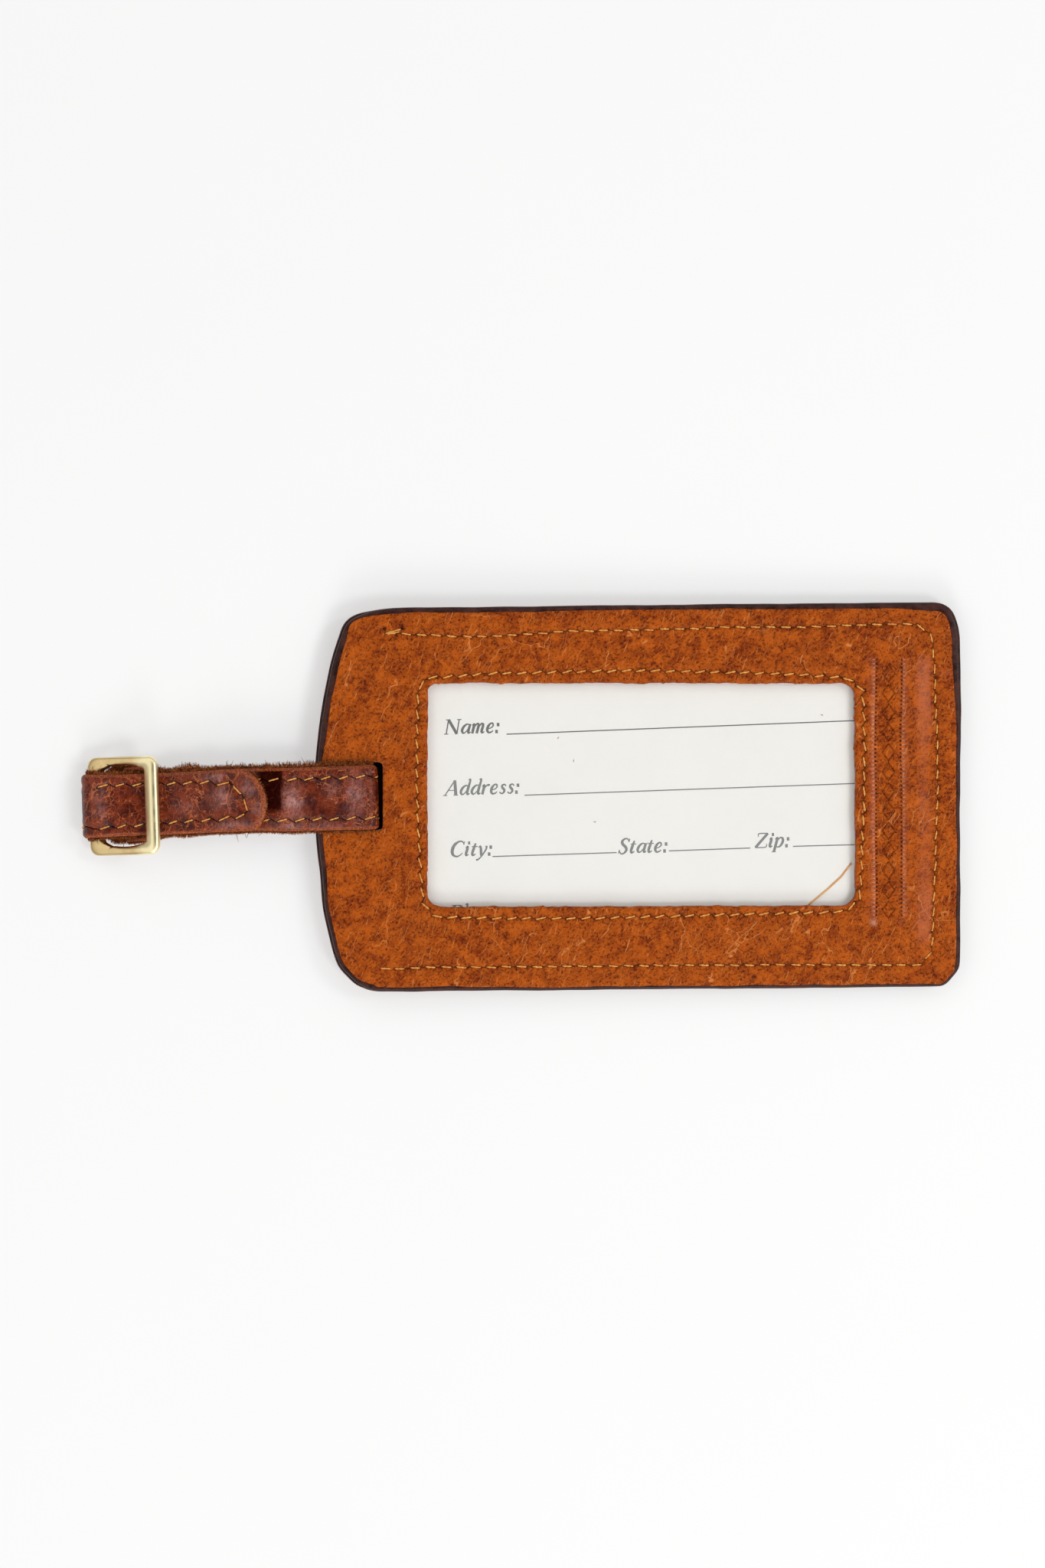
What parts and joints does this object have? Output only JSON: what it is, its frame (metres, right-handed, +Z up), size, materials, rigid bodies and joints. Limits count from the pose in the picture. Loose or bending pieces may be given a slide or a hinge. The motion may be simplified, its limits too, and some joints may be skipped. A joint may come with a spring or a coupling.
{
  "type": "luggage tag",
  "caption": "Stitched leather luggage tag with a clear window over an address card and a buckled leather strap through an end slot.",
  "frame": {"origin": "on the surface that the tag lies on, under the middle of the whole object", "axes": "+X along the tag away from the strap, +Y across it, +Z up out of the windowed side"},
  "size_m": [0.1564, 0.0689, 0.0094],
  "materials": {
    "tan_leather": "waxy pull-up leather, fine grain with paler crease veins",
    "brown_leather": "glossy dark red-brown leather with crackle veins",
    "suede": "raw suede, fuzzy along the edges",
    "edge_paint": "glossy dark brown painted edge",
    "thread": "yellow-gold waxed thread",
    "card_stock": "matt off-white card with dark grey printing",
    "clear_vinyl": "clear, thin and glossy",
    "brass": "satin-polished pale brass"
  },
  "bodies": {
    "tag": {"base_panel": "tan_leather", "pocket_filler": "tan_leather", "window_sheet": "clear_vinyl", "window_panel": "tan_leather", "edge_coat": "edge_paint", "perimeter_stitching": "thread", "window_stitching": "thread", "strap_root_grain": "brown_leather", "strap_root_lining": "suede", "strap_root_stitching": "thread", "strap_flex_grain": "brown_leather", "strap_flex_lining": "suede", "strap_flex_stitching": "thread"},
    "card": {"id_card": "card_stock"},
    "strap_loop": {"chape_grain": "brown_leather", "chape_lining": "suede", "chape_fold": "brown_leather", "chape_stitching": "thread", "billet_grain": "brown_leather", "billet_lining": "suede", "billet_stitching": "thread"},
    "buckle": {"buckle_frame": "brass"}
  },
  "joints": [
    {"name": "strap_swing", "type": "hinge", "parent": "tag", "child": "strap_loop", "pos_m": [-0.03618, -0.00033, 0.00383], "axis": [-0.0326, 0.9995, 0], "range_deg": [0, 80], "deforming": ["strap_flex_grain", "strap_flex_lining", "strap_flex_stitching"]},
    {"name": "buckle_lift", "type": "hinge", "parent": "strap_loop", "child": "buckle", "pos_m": [-0.07473, -0.00159, 0.00313], "axis": [0.0326, -0.9995, 0], "range_deg": [0, 80]},
    {"name": "card_slide", "type": "slide", "parent": "tag", "child": "card", "axis": [-0.9998, 0, 0.0175], "range_m": [-0.001, 0.006]}
  ]
}
